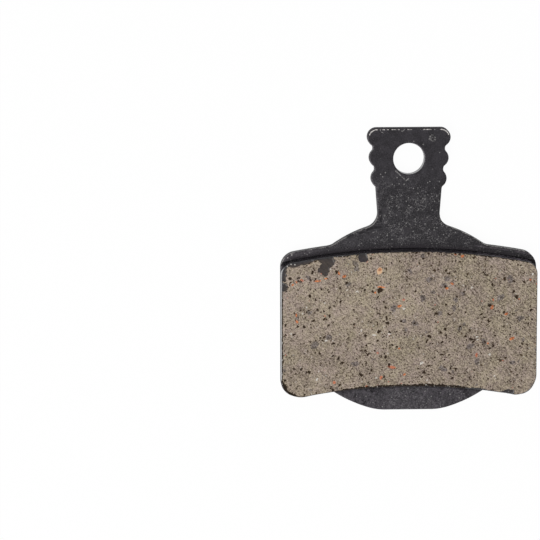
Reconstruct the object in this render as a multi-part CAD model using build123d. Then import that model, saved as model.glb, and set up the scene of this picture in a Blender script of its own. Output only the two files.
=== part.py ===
from build123d import *
import os
from math import radians, sqrt, tan

# Bicycle disc brake pad: a stamped steel plate, and a friction block moulded onto it and through it.
# Millimetres. X runs across the pad, Y towards the tab, and Z out of the friction face.
# The origin is the centre of the retaining hole, on the back of the plate, which lies on Z = 0.

# Backing plate. The ears' top and bottom edges are shallow arcs that follow the rotor's rim, and each
# height here is measured on the centre line
plate_width = 34.0
plate_thickness = 1.8
hole_to_ears = 10.96
ear_height = 19.34
ear_top_radius = 83.0
ear_bottom_radius = 75.0
ear_corner_radius = 2.15
die_roll = 0.35

# Bulges between the ears: one rises above them and carries the neck, the other drops below them
upper_bulge_rise = 2.71
upper_bulge_radius = 17.4
upper_notch_fillet = 2.0
lower_bulge_drop = 3.35
lower_bulge_radius = 18.2
lower_bulge_flat = 8.1
lower_bulge_flat_fillet = 8.0
lower_notch_fillet = 0.5

# Tab: a tapered trunk round the retaining hole, with knuckles that narrow towards the neck
hole_diameter = 4.15
hole_to_top_knuckle = 2.83
knuckle_count = 3
knuckle_width = 11.0
knuckle_narrowing = 0.5
knuckle_radius = 1.25
knuckle_pitch = 2.73
knuckle_fillet = 0.5
neck_width = 8.9
neck_taper = 4.4
neck_root_fillet = 2.0

# Friction block
block_height = 2.2
block_top_margin = 1.0
block_side_margin = 0.02
block_bottom_margin = 0.15
block_top_corner_radius = 1.8
block_bottom_corner_radius = 2.8
block_draft = 3.0
block_edge_round = 0.15

# Key holes of the plate, and the plugs that fill them, in two rows and three columns
key_diameter = 5.3
key_column_pitch = 9.7
upper_key_inset = 3.95
lower_key_inset = 4.15
plug_clearance = 0.02
plug_end_chamfer = 0.2
plug_recess_left = 0.30
plug_recess_middle = 0.15
plug_recess_right = 0.05

# Sizes that follow from the ones above
ear_top_y = -hole_to_ears
ear_bottom_y = ear_top_y - ear_height
upper_bulge_top_y = ear_top_y + upper_bulge_rise
lower_bulge_bottom_y = ear_bottom_y - lower_bulge_drop
block_width = plate_width - 2 * block_side_margin
block_top_y = ear_top_y - block_top_margin
block_top_radius = ear_top_radius - block_top_margin
block_bottom_y = ear_bottom_y + block_bottom_margin
block_bottom_radius = ear_bottom_radius + block_bottom_margin
lowest_knuckle_y = hole_to_top_knuckle - (knuckle_count - 1) * knuckle_pitch
upper_key_y = block_top_y - upper_key_inset
lower_key_y = ear_bottom_y + lower_key_inset
plug_recesses = {
    -key_column_pitch: plug_recess_left,
    0.0: plug_recess_middle,
    key_column_pitch: plug_recess_right,
}


def arc_y(crown_y, radius, x):
    """Height at x of an arc that is highest, at crown_y, on the centre line."""
    return crown_y - radius + sqrt(radius**2 - x**2)


def curved_band(top_y, top_radius, bottom_y, bottom_radius, width, top_corner, bottom_corner):
    """The area between two arcs, one above the other, cut to a width, with rounded corners."""
    over = Pos(0, top_y - top_radius) * Circle(top_radius)
    under = Pos(0, bottom_y - bottom_radius) * Circle(bottom_radius)
    strip_height = top_y - bottom_y + bottom_radius
    strip = Pos(0, top_y) * Rectangle(width, strip_height, align=(Align.CENTER, Align.MAX))
    band = (over & strip) - under
    band = fillet(band.vertices().sort_by(Axis.Y)[:2], bottom_corner)
    return fillet(band.vertices().sort_by(Axis.Y)[-2:], top_corner)


def blend(base, addition, radius):
    """Two faces joined, with a fillet in each corner where their outlines cross."""
    joined = base + addition
    old_corners = [corner.center() for corner in base.vertices() + addition.vertices()]
    crossings = [corner for corner in joined.vertices() if corner.center() not in old_corners]
    return fillet(crossings, radius)


def trunk_half_width(y):
    """Half the trunk's width: the neck's own width beside the lowest knuckle, more above it."""
    return neck_width / 2 + (y - lowest_knuckle_y) * tan(radians(neck_taper))


def tab():
    """The trunk, from the top knuckle down to the root of the neck, and the knuckles along it."""
    top_half = trunk_half_width(hole_to_top_knuckle)
    root_half = trunk_half_width(ear_top_y)
    outline = make_face(
        Polyline(
            (-top_half, hole_to_top_knuckle),
            (top_half, hole_to_top_knuckle),
            (root_half, ear_top_y),
            (-root_half, ear_top_y),
            close=True,
        )
    )
    for index in range(knuckle_count):
        width = knuckle_width - index * knuckle_narrowing
        knuckle = SlotOverall(width, 2 * knuckle_radius)
        knuckle_y = hole_to_top_knuckle - index * knuckle_pitch
        outline = blend(outline, Pos(0, knuckle_y) * knuckle, knuckle_fillet)
    return outline


def upper_bulge():
    """The cap of a disc that carries the neck, reaching down to the upper row of keys."""
    disc = Pos(0, upper_bulge_top_y - upper_bulge_radius) * Circle(upper_bulge_radius)
    height = upper_bulge_top_y - upper_key_y
    window = Rectangle(plate_width, height, align=(Align.CENTER, Align.MAX))
    return disc & (Pos(0, upper_bulge_top_y) * window)


def lower_bulge():
    """The cap of a disc under the lower row of keys, cut off by a flat whose ends are softened."""
    centre_above_flat = sqrt(lower_bulge_radius**2 - (lower_bulge_flat / 2) ** 2)
    disc = Pos(0, lower_bulge_bottom_y + centre_above_flat) * Circle(lower_bulge_radius)
    height = lower_key_y - lower_bulge_bottom_y
    window = Rectangle(plate_width, height, align=(Align.CENTER, Align.MIN))
    cap = disc & (Pos(0, lower_bulge_bottom_y) * window)
    flat_ends = cap.vertices().group_by(Axis.Y)[0]
    return fillet(flat_ends, lower_bulge_flat_fillet)


def key_centres():
    """Each key's place: the rows follow the block's arcs, a set distance in from them."""
    rows = (
        (upper_key_y, block_top_radius - upper_key_inset),
        (lower_key_y, ear_bottom_radius + lower_key_inset),
    )
    return [(x, arc_y(crown_y, radius, x)) for crown_y, radius in rows for x in plug_recesses]


def make_backing_plate():
    """The stamped plate, with the die's rounding along its back edge."""
    outline = blend(tab(), upper_bulge(), neck_root_fillet)
    ears = curved_band(
        ear_top_y,
        ear_top_radius,
        ear_bottom_y,
        ear_bottom_radius,
        plate_width,
        ear_corner_radius,
        ear_corner_radius,
    )
    outline = blend(outline, ears, upper_notch_fillet)
    outline = blend(outline, lower_bulge(), lower_notch_fillet)
    outline -= Circle(hole_diameter / 2)
    for centre in key_centres():
        outline -= Pos(*centre) * Circle(key_diameter / 2)
    plate = extrude(outline, plate_thickness)
    back_edge = plate.faces().sort_by(Axis.Z)[0].outer_wire().edges()
    return fillet(back_edge, die_roll)


def make_friction_block():
    """The ground block, drafted for its mould, and the plugs that lock it into the plate."""
    base = curved_band(
        block_top_y,
        block_top_radius,
        block_bottom_y,
        block_bottom_radius,
        block_width,
        block_top_corner_radius,
        block_bottom_corner_radius,
    )
    block = extrude(Pos(0, 0, plate_thickness) * base, block_height, taper=block_draft)
    block = fillet(block.faces().sort_by(Axis.Z)[-1].edges(), block_edge_round)
    for column_x, row_y in key_centres():
        recess = plug_recesses[column_x]
        plug = Cylinder(
            key_diameter / 2 - plug_clearance,
            plate_thickness - recess,
            align=(Align.CENTER, Align.CENTER, Align.MIN),
        )
        plug = chamfer(plug.edges().sort_by(Axis.Z)[0], plug_end_chamfer)
        block += Pos(column_x, row_y, recess) * plug
    return block


nodes = {
    "backing_plate": make_backing_plate(),
    "friction_block": make_friction_block(),
}

os.makedirs("parts", exist_ok=True)
for name, solid in nodes.items():
    solid.label = name
    export_step(solid, f"parts/{name}.step")
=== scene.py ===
# %% [markdown]
# # A bicycle disc brake pad
# A brake pad is a stamped steel plate with a block of friction compound moulded onto it. The two solids
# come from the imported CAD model. This lesson dresses them: each piece is rebuilt as a fine numpy surface
# in the same place, and gets a material made of nodes.

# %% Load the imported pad
from functools import reduce
from math import ceil, cos, pi, radians, sin, sqrt, tan

import bpy
import numpy as np
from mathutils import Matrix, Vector
from mathutils.geometry import delaunay_2d_cdt


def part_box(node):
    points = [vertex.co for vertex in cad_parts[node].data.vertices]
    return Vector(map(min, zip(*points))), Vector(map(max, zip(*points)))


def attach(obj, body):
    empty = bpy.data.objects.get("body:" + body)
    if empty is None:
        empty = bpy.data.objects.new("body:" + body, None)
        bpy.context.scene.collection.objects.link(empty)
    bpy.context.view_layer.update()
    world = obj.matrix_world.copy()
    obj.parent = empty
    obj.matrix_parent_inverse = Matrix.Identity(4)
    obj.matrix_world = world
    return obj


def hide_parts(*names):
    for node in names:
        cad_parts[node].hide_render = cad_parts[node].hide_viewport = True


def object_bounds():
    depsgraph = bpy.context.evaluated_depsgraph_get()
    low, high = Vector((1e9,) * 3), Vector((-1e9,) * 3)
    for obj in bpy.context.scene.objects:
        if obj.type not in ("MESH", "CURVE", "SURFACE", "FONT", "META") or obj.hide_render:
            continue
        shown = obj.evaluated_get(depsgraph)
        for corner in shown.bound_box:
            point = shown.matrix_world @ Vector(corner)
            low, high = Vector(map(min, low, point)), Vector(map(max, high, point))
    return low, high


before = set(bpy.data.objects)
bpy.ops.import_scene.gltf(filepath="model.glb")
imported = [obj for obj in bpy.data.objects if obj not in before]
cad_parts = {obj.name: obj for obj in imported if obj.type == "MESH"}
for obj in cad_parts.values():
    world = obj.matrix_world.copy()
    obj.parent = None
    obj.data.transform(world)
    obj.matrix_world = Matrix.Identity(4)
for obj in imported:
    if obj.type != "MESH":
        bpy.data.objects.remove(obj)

MM = 0.001
cad_low, cad_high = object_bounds()
plate_low, plate_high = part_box("backing_plate")
block_low, block_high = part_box("friction_block")
print("pad size in mm", [round(side / MM, 2) for side in cad_high - cad_low])

# %% [markdown]
# ## Camera
# The pad lies on its back and is seen from almost straight above, from a little beyond the tab and off to
# the left. The camera could be aimed at a target, but a place, three turns and a lens describe the view
# completely, so they are set directly.

# %% Camera
CAMERA_PLACE = Vector((-35.08, 43.79, 400.0)) * MM
CAMERA_TURN = (radians(-8.3402), radians(-2.4196), radians(-0.1362))
CAMERA_LENS = 202.85
CAMERA_SENSOR = 36.0

camera = bpy.data.objects.new("camera", bpy.data.cameras.new("camera"))
camera.data.lens = CAMERA_LENS
camera.data.sensor_width = CAMERA_SENSOR
camera.location = CAMERA_PLACE
camera.rotation_euler = CAMERA_TURN
bpy.context.scene.collection.objects.link(camera)
bpy.context.scene.camera = camera
bpy.context.scene.view_settings.view_transform = "Standard"
print("camera height in mm", round(CAMERA_PLACE.z / MM))

# %% [markdown]
# ## Node maths
# Materials are easier to read as sums than as boxes and cables. A `Wire` holds one output socket, and
# arithmetic on wires adds the Math nodes. Every other node comes from `make`.


# %% Wire
class Wire:
    """One output socket of a node tree. Sums and products of wires and numbers add Math nodes."""

    def __init__(self, tree, socket):
        self.tree = tree
        self.socket = socket

    def make(self, kind, settings=None, inputs=None, output=0):
        """A new node of this kind: its settings come first, then a value or a wire for each input."""
        node = self.tree.nodes.new(kind)
        for name, value in (settings or {}).items():
            setattr(node, name, value)
        for name, value in (inputs or {}).items():
            self.feed(node.inputs[name], value)
        return Wire(self.tree, node.outputs[output])

    def feed(self, socket, value):
        """Sets a socket to a number or colour, or links a wire to it."""
        if isinstance(value, Wire):
            self.tree.links.new(value.socket, socket)
        else:
            socket.default_value = value

    def math(self, operation, first, second):
        return self.make("ShaderNodeMath", {"operation": operation}, {0: first, 1: second})

    def __add__(self, other):
        return self.math("ADD", self, other)

    def __radd__(self, other):
        return self.math("ADD", other, self)

    def __sub__(self, other):
        return self.math("SUBTRACT", self, other)

    def __rsub__(self, other):
        return self.math("SUBTRACT", other, self)

    def __mul__(self, other):
        return self.math("MULTIPLY", self, other)

    def __rmul__(self, other):
        return self.math("MULTIPLY", other, self)

    def larger(self, other):
        return self.math("MAXIMUM", self, other)

    def step(self, low, high):
        """0 below low, 1 above high, eased between them. With low above high it falls instead."""
        limits = {"Value": self, "From Min": low, "From Max": high}
        return self.make("ShaderNodeMapRange", {"interpolation_type": "SMOOTHSTEP"}, limits)

    def between(self, colour_at_0, colour_at_1):
        """A colour that goes from one to the other as this wire goes from 0 to 1."""
        mix_factor, mix_low, mix_high, mix_result = 0, 6, 7, 2
        inputs = {mix_factor: self, mix_low: colour_at_0, mix_high: colour_at_1}
        return self.make("ShaderNodeMix", {"data_type": "RGBA"}, inputs, mix_result)

    def tinted(self, colour):
        """This colour times another."""
        return self.make("ShaderNodeVectorMath", {"operation": "MULTIPLY"}, {0: self, 1: colour})

    def scaled(self, scale):
        """A vector times a number."""
        return self.make("ShaderNodeVectorMath", {"operation": "SCALE"}, {0: self, "Scale": scale})

    def dot(self, direction):
        """How far a vector reaches along a direction."""
        scalar_output = 1
        settings = {"operation": "DOT_PRODUCT"}
        return self.make("ShaderNodeVectorMath", settings, {0: self, 1: direction}, scalar_output)

    def bent(self, amount, scale):
        """A place moved aside by noise, so that shapes drawn there get crooked edges."""
        colour_output = 1
        shift = self.make("ShaderNodeTexNoise", None, {"Vector": self, "Scale": scale}, colour_output)
        add = {"operation": "MULTIPLY_ADD"}
        reach = (2 * amount, 2 * amount, 2 * amount)
        back = (-amount, -amount, -amount)
        shift = self.make("ShaderNodeVectorMath", add, {0: shift, 1: reach, 2: back})
        return self.make("ShaderNodeVectorMath", {"operation": "ADD"}, {0: self, 1: shift})

    def noise(self, scale, detail=2.0, roughness=0.5):
        """Soft noise round 0.5 whose blotches are about 1 / scale across."""
        inputs = {"Vector": self, "Scale": scale, "Detail": detail, "Roughness": roughness}
        return self.make("ShaderNodeTexNoise", None, inputs)

    def attribute(self, name):
        """A number that the mesh carries at each vertex."""
        factor_output = 2
        return self.make("ShaderNodeAttribute", {"attribute_name": name}, None, factor_output)


X_AXIS = (1, 0, 0)
Y_AXIS = (0, 1, 0)
Z_AXIS = (0, 0, 1)
WHITE = (1, 1, 1, 1)


def srgb(red, green, blue):
    """A colour as read from a screen, 0 to 255, turned into the linear light that Blender mixes."""
    screen = np.array((red, green, blue)) / 255
    linear = np.where(screen > 0.04045, ((screen + 0.055) / 1.055) ** 2.4, screen / 12.92)
    return (*linear, 1.0)


def new_material(name):
    """A material, its main shader, and a wire with the place on the piece in millimetres."""
    material = bpy.data.materials.new(name)
    material.use_nodes = True
    tree = material.node_tree
    place = tree.nodes.new("ShaderNodeTexCoord")
    start = Wire(tree, place.outputs["Object"])
    return material, tree.nodes["Principled BSDF"], start.scaled(1 / MM)


print("one white pixel is", srgb(255, 255, 255))

# %% [markdown]
# ## Floor and light
# The pad lies on a white studio table, with white all round it. Floor and sky are plain white where the
# camera sees them, directly or in a reflection, because black paint shows little but what it mirrors.
# For lighting, the sky is dimmer and one large lamp gives the light a side. The floor keeps a little of its
# own shading, so that the pad casts a faint shadow.

# %% Floor
FLOOR_SIZE = 3.0
FLOOR_GAP = 0.02 * MM
FLOOR_GLOW = 0.97
FLOOR_WHITE = srgb(245, 245, 245)
FLOOR_ROUGHNESS = 0.9


def shows_background(wire):
    """1 for rays that reach the camera directly, by a reflection or through something clear, else 0."""
    kinds = ("Is Camera Ray", "Is Glossy Ray", "Is Transmission Ray")
    return reduce(Wire.larger, (wire.make("ShaderNodeLightPath", None, None, kind) for kind in kinds))


def floor_material():
    """White table: mostly even white to the eye, part plain diffuse white that takes the shadow."""
    material, shader, place = new_material("floor_white")
    place.feed(shader.inputs["Base Color"], FLOOR_WHITE)
    place.feed(shader.inputs["Roughness"], FLOOR_ROUGHNESS)
    glow = place.make("ShaderNodeEmission", None, {"Color": WHITE, "Strength": 1.0})
    plain = Wire(place.tree, shader.outputs[0])
    share = shows_background(place) * FLOOR_GLOW
    both = place.make("ShaderNodeMixShader", None, {0: share, 1: plain, 2: glow})
    place.feed(place.tree.nodes["Material Output"].inputs["Surface"], both)
    return material


half = FLOOR_SIZE / 2
floor_mesh = bpy.data.meshes.new("floor")
corners = [(-half, -half), (half, -half), (half, half), (-half, half)]
floor_mesh.from_pydata([(x, y, cad_low.z - FLOOR_GAP) for x, y in corners], [], [(0, 1, 2, 3)])
floor_mesh.materials.append(floor_material())
floor = bpy.data.objects.new("floor", floor_mesh)
bpy.context.scene.collection.objects.link(floor)
print("floor lies", round(FLOOR_GAP / MM, 2), "mm under the pad")

# %% Sky and lamp
WORLD_LEVEL = 0.40
LAMP_POWER = 3.8
LAMP_SIZE = 0.4
LAMP_PLACE = Vector((-0.22, -0.25, 0.68))

world = bpy.data.worlds.new("studio")
world.use_nodes = True
bpy.context.scene.world = world
sky_nodes = world.node_tree.nodes
sky = Wire(world.node_tree, sky_nodes["Background"].outputs[0])
sky.feed(sky_nodes["Background"].inputs["Color"], WHITE)
sky.feed(sky_nodes["Background"].inputs["Strength"], WORLD_LEVEL)
white_sky = sky.make("ShaderNodeBackground", None, {"Color": WHITE, "Strength": 1.0})
both_skies = sky.make("ShaderNodeMixShader", None, {0: shows_background(sky), 1: sky, 2: white_sky})
sky.feed(sky_nodes["World Output"].inputs["Surface"], both_skies)

lamp = bpy.data.objects.new("soft_lamp", bpy.data.lights.new("soft_lamp", "AREA"))
lamp.data.energy = LAMP_POWER
lamp.data.size = LAMP_SIZE
lamp.location = LAMP_PLACE
lamp.rotation_euler = (-LAMP_PLACE).to_track_quat("-Z", "Y").to_euler()
bpy.context.scene.collection.objects.link(lamp)
print("lamp stands", round(LAMP_PLACE.length, 2), "m away")

# %% [markdown]
# ## Outlines from arcs
# A stamped outline is a chain of arcs with a small fillet at each corner. A straight edge is treated as an
# arc so large that it looks straight, so one rule finds every fillet: its centre lies at a set distance
# from two circles, which is where two larger or smaller circles cross.

# %% Chains of arcs
STRAIGHT = 50.0
FINE_STEP = 0.02 * MM


def disc(x, y, radius, material_inside=True):
    """An edge that is part of a circle: its centre, its radius, and on which side the material is."""
    return np.array((x, y)), radius, 1 if material_inside else -1


def straight(x, y, outward):
    """A straight edge through a point, as a huge circle. outward is the angle at which it faces."""
    facing = np.array((cos(outward), sin(outward)))
    return np.array((x, y)) - STRAIGHT * facing, STRAIGHT, 1


def fillet(first, second, radius, hollow, near):
    """A fillet between two edges: its centre, and the points where it touches them. A hollow fillet
    lies outside the material. The two possible centres are where the widened circles cross, and near
    picks one."""
    (centre_1, radius_1, side_1), (centre_2, radius_2, side_2) = first, second
    inward = -radius if hollow else radius
    reach_1 = radius_1 - side_1 * inward
    reach_2 = radius_2 - side_2 * inward
    gap = centre_2 - centre_1
    length = np.hypot(*gap)
    along = (length**2 + reach_1**2 - reach_2**2) / (2 * length)
    across = sqrt(max(reach_1**2 - along**2, 0))
    middle = centre_1 + gap / length * along
    aside = np.array((-gap[1], gap[0])) / length * across
    centre = min(middle + aside, middle - aside, key=lambda point: np.hypot(*(point - near)))
    touch_1 = centre_1 + (centre - centre_1) * radius_1 / reach_1
    touch_2 = centre_2 + (centre - centre_2) * radius_2 / reach_2
    return centre, touch_1, touch_2


def arc(centre, start, end):
    """Points along the shorter arc from start towards end: the angle grows evenly, the radius stays."""
    radius = np.hypot(*(start - centre))
    angle_1 = np.arctan2(*(start - centre)[::-1])
    angle_2 = np.arctan2(*(end - centre)[::-1])
    turn = (angle_2 - angle_1 + pi) % (2 * pi) - pi
    count = max(1, ceil(abs(turn) * radius / FINE_STEP))
    angles = angle_1 + turn * np.arange(count) / count
    return centre + radius * np.stack((np.cos(angles), np.sin(angles)), axis=1)


def half_outline(edges, corners, start, end):
    """The right half of an outline, from start to end: each edge's arc, then its corner's fillet."""
    points = []
    for edge, following, (radius, hollow, near) in zip(edges, edges[1:], corners):
        centre, leave, enter = fillet(edge, following, radius, hollow, np.array(near))
        points += [arc(edge[0], start, leave), arc(centre, leave, enter)]
        start = enter
    return np.concatenate(points + [arc(edges[-1][0], start, end), end[None]])


def even_loop(right_half, step):
    """The whole outline, counter-clockwise from the foot of the centre line, at even steps."""
    left_half = right_half[-2:0:-1] * (-1, 1)
    loop = np.concatenate((right_half, left_half))
    closed = np.concatenate((loop, loop[:1]))
    travelled = np.concatenate(([0], np.cumsum(np.hypot(*np.diff(closed, axis=0).T))))
    count = round(travelled[-1] / step)
    places = travelled[-1] * np.arange(count) / count
    return np.stack([np.interp(places, travelled, side) for side in closed.T], axis=1)


def ring(centre, radius, step, clockwise=False):
    """A circle at even steps. A hole's circle runs clockwise, so that its wall faces the hole."""
    count = round(2 * pi * radius / step)
    angles = 2 * pi * np.arange(count) / count * (-1 if clockwise else 1)
    return np.array(centre) + radius * np.stack((np.cos(angles), np.sin(angles)), axis=1)


def facing(loop):
    """The way each point of a loop faces, which is away from the material: right of its travel."""
    travel = np.roll(loop, -1, axis=0) - np.roll(loop, 1, axis=0)
    travel /= np.hypot(*travel.T)[:, None]
    return np.stack((travel[:, 1], -travel[:, 0]), axis=1)


print("a straight edge bows by", round(10**2 / (2 * STRAIGHT / MM), 4), "mm over 20 mm")

# %% [markdown]
# ## The plate's outline
# The plate has two ears, a bulge above and below them, and a tab whose three knuckles stand on a tapered
# trunk. The sizes are those of the stamped part.

# %% Plate outline
PLATE_WIDTH = plate_high.x - plate_low.x
PLATE_THICKNESS = plate_high.z - plate_low.z
EAR_TOP = -10.96 * MM
EAR_TOP_RADIUS = 83.0 * MM
EAR_BOTTOM = -30.30 * MM
EAR_BOTTOM_RADIUS = 75.0 * MM
EAR_CORNER = 2.15 * MM
UPPER_BULGE_TOP = -8.25 * MM
UPPER_BULGE_RADIUS = 17.4 * MM
UPPER_NOTCH = 2.0 * MM
LOWER_BULGE_BOTTOM = plate_low.y
LOWER_BULGE_RADIUS = 18.2 * MM
LOWER_BULGE_FLAT = 8.1 * MM
LOWER_BULGE_SOFTENING = 8.0 * MM
LOWER_NOTCH = 0.5 * MM
KNUCKLE_COUNT = 3
KNUCKLE_RADIUS = 1.25 * MM
KNUCKLE_PITCH = 2.73 * MM
KNUCKLE_WIDTH = 11.0 * MM
KNUCKLE_NARROWING = 0.5 * MM
KNUCKLE_HOLLOW = 0.5 * MM
TOP_KNUCKLE = plate_high.y - KNUCKLE_RADIUS
NECK_WIDTH = 8.9 * MM
NECK_TAPER = radians(4.4)
NECK_ROOT = 2.0 * MM
OUTLINE_STEP = 0.11 * MM


def plate_edges():
    """The right half's edges from the foot to the head, and the fillet at each corner between them."""
    side = PLATE_WIDTH / 2
    bulge_rise = sqrt(LOWER_BULGE_RADIUS**2 - (LOWER_BULGE_FLAT / 2) ** 2)
    lowest_knuckle = TOP_KNUCKLE - (KNUCKLE_COUNT - 1) * KNUCKLE_PITCH
    trunk = straight(NECK_WIDTH / 2, lowest_knuckle, -NECK_TAPER)
    edges = [
        straight(0, LOWER_BULGE_BOTTOM, -pi / 2),
        disc(0, LOWER_BULGE_BOTTOM + bulge_rise, LOWER_BULGE_RADIUS),
        disc(0, EAR_BOTTOM - EAR_BOTTOM_RADIUS, EAR_BOTTOM_RADIUS, material_inside=False),
        straight(side, 0, 0),
        disc(0, EAR_TOP - EAR_TOP_RADIUS, EAR_TOP_RADIUS),
        disc(0, UPPER_BULGE_TOP - UPPER_BULGE_RADIUS, UPPER_BULGE_RADIUS),
    ]
    corners = [
        (LOWER_BULGE_SOFTENING, False, (LOWER_BULGE_FLAT / 2, LOWER_BULGE_BOTTOM)),
        (LOWER_NOTCH, True, (side / 2, EAR_BOTTOM)),
        (EAR_CORNER, False, (side, EAR_BOTTOM)),
        (EAR_CORNER, False, (side, EAR_TOP)),
        (UPPER_NOTCH, True, (side / 2, EAR_TOP)),
        (NECK_ROOT, True, (NECK_WIDTH / 2, UPPER_BULGE_TOP)),
    ]
    for index in reversed(range(KNUCKLE_COUNT)):
        reach = (KNUCKLE_WIDTH - index * KNUCKLE_NARROWING) / 2
        height = TOP_KNUCKLE - index * KNUCKLE_PITCH
        edges += [trunk, disc(reach - KNUCKLE_RADIUS, height, KNUCKLE_RADIUS)]
        corners.append((KNUCKLE_HOLLOW, True, (reach, height - KNUCKLE_RADIUS)))
        corners.append((KNUCKLE_HOLLOW, True, (reach, height + KNUCKLE_RADIUS)))
    edges.append(straight(0, plate_high.y, pi / 2))
    corners[-1] = (0, False, (KNUCKLE_WIDTH / 2 - KNUCKLE_RADIUS, plate_high.y))
    return edges, corners


foot = np.array((0, LOWER_BULGE_BOTTOM))
head = np.array((0, plate_high.y))
plate_loop = even_loop(half_outline(*plate_edges(), foot, head), OUTLINE_STEP)
print("plate outline", len(plate_loop), "points,", (np.ptp(plate_loop, axis=0) / MM).round(2), "mm")

# %% [markdown]
# ## Surfaces and meshes
# Walls are a profile carried round a loop, and flat faces are filled between loops. Filling could leave a
# face with no points inside, but then nothing on it could vary, so a honeycomb of points is added.

# %% Walls and faces
LOOP_CHUNK = 100
EDGE_CHUNKS = 20
LATTICE_CLEARANCE = 0.6
MERGE_WITHIN = 1e-6


def carry(loop, insets, heights):
    """Rings of points: the loop drawn in by each inset, against the way it faces, at each height."""
    drawn_in = loop - facing(loop) * np.asarray(insets)[:, None, None]
    raised = np.broadcast_to(np.asarray(heights)[:, None], drawn_in.shape[:2])
    return np.concatenate((drawn_in, raised[..., None]), axis=2)


def ring_faces(rows, count):
    """Quads between rings that follow one another downwards, closed round the loop."""
    index = np.arange(rows * count).reshape(rows, count)
    following = np.roll(index, -1, axis=1)
    quads = np.stack((index[:-1], index[1:], following[1:], following[:-1]), axis=-1)
    return quads.reshape(-1, 4)


def honeycomb(low, high, step):
    """Points of a triangular lattice over a box: every second row is shifted by half a step."""
    rows = np.arange(low[1], high[1], step * sqrt(3) / 2)
    columns = np.arange(low[0], high[0], step)
    y, x = np.meshgrid(rows, columns, indexing="ij")
    x = x + (np.arange(len(rows)) % 2 * step / 2)[:, None]
    return np.stack((x.ravel(), y.ravel()), axis=1)


def clear_of(points, loops, distance):
    """True for points at least this far from every point of the loops."""
    clear = np.ones(len(points), bool)
    for loop in loops:
        for part in np.array_split(loop, ceil(len(loop) / LOOP_CHUNK)):
            gaps = np.hypot(*(points[:, None] - part[None]).transpose(2, 0, 1))
            clear &= gaps.min(axis=1) > distance
    return clear


def inside(points, loop):
    """True inside a loop: a ray to the right crosses its edges an odd number of times."""
    crossings = np.zeros(len(points), int)
    ends = np.roll(loop, -1, axis=0)
    x, y = points.T[:, :, None]
    for start, end in zip(np.array_split(loop, EDGE_CHUNKS), np.array_split(ends, EDGE_CHUNKS)):
        straddles = (start[:, 1] > y) != (end[:, 1] > y)
        rise = end[:, 1] - start[:, 1]
        slope = (end[:, 0] - start[:, 0]) / np.where(rise == 0, 1, rise)
        crossings += (straddles & (x < start[:, 0] + (y - start[:, 1]) * slope)).sum(axis=1)
    return crossings % 2 == 1


def fill(outer, holes=(), step=None):
    """Triangles between an outer loop and holes, and their points. With a step, a honeycomb of points
    is added inside, clear of the loops' points and edges. Triangles are kept where their middles lie
    in the outer loop and in no hole."""
    loops = [outer, *holes]
    points = np.concatenate(loops)
    starts = np.cumsum([0] + [len(loop) for loop in loops])
    if step:
        lattice = honeycomb(outer.min(axis=0), outer.max(axis=0), step)
        edge_middles = [(loop + np.roll(loop, -1, axis=0)) / 2 for loop in loops]
        lattice = lattice[clear_of(lattice, loops + edge_middles, step * LATTICE_CLEARANCE)]
        lattice = lattice[inside(lattice, outer)]
        points = np.concatenate((points, lattice))
    edges = [
        pair
        for start, end in zip(starts, starts[1:])
        for pair in zip(range(start, end), [*range(start + 1, end), start])
    ]
    flat = [Vector(point) for point in points / MM]
    made = delaunay_2d_cdt(flat, edges, [], 1, MERGE_WITHIN)
    source = np.array([origin[0] for origin in made[3]])
    triangles = source[np.array(made[2])]
    middles = points[triangles].mean(axis=1)
    kept = inside(middles, outer)
    for hole in holes:
        kept &= ~inside(middles, hole)
    return points, triangles[kept]


unit_square = np.array(((0, 0), (1, 0), (1, 1), (0, 1))) * MM
print("a bare square is filled with", len(fill(unit_square)[1]), "triangles")


# %% Shell
WELD = 1e-8


class Shell:
    """Collects the parts of one closed surface, joins points that coincide, and makes the mesh."""

    def __init__(self):
        self.points, self.faces, self.values, self.count = [], [], [], 0

    def add(self, points, faces, **values):
        """Adds points, the faces between them, and a number per point for each named attribute."""
        self.points.append(points.reshape(-1, 3))
        self.faces.append(faces + self.count)
        self.values.append(values)
        self.count += len(self.points[-1])

    def attribute(self, name):
        """One attribute of all the points, 0 where a part doesn't give it."""
        parts = [
            np.broadcast_to(np.asarray(values.get(name, 0.0)).ravel(), len(points))
            for points, values in zip(self.points, self.values)
        ]
        return np.concatenate(parts)

    def build(self, name, material, slot):
        """The finished object, smooth shaded and riding on the pad. Points that no face uses are left out."""
        points = np.concatenate(self.points)
        rounded = np.round(points / WELD)
        _, first, place = np.unique(rounded, axis=0, return_index=True, return_inverse=True)
        place = place.ravel()
        corners = np.concatenate([place[block].ravel() for block in self.faces])
        used, corners = np.unique(corners, return_inverse=True)
        first = first[used]
        sizes = np.concatenate([np.full(len(block), block.shape[1]) for block in self.faces])
        mesh = bpy.data.meshes.new(name)
        mesh.vertices.add(len(first))
        mesh.vertices.foreach_set("co", points[first].astype(np.float32).ravel())
        mesh.loops.add(len(corners))
        mesh.loops.foreach_set("vertex_index", corners.astype(np.int32))
        mesh.polygons.add(len(sizes))
        mesh.polygons.foreach_set("loop_start", (np.cumsum(sizes) - sizes).astype(np.int32))
        mesh.polygons.foreach_set("use_smooth", np.ones(len(sizes), bool))
        mesh.update(calc_edges=True)
        for attribute in sorted({key for values in self.values for key in values}):
            layer = mesh.attributes.new(attribute, "FLOAT", "POINT")
            layer.data.foreach_set("value", self.attribute(attribute)[first].astype(np.float32))
        repaired = mesh.validate()
        mesh.materials.append(material)
        piece = bpy.data.objects.new(name, mesh)
        bpy.context.scene.collection.objects.link(piece)
        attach(piece, "root")
        triangles = int((sizes - 2).sum())
        print(name, len(first), "points,", triangles, "triangles, repaired" if repaired else "triangles")
        return piece


print("points closer than", WELD / MM, "mm are joined")


# %% Noise
NOISE_SIZE = 256


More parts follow.
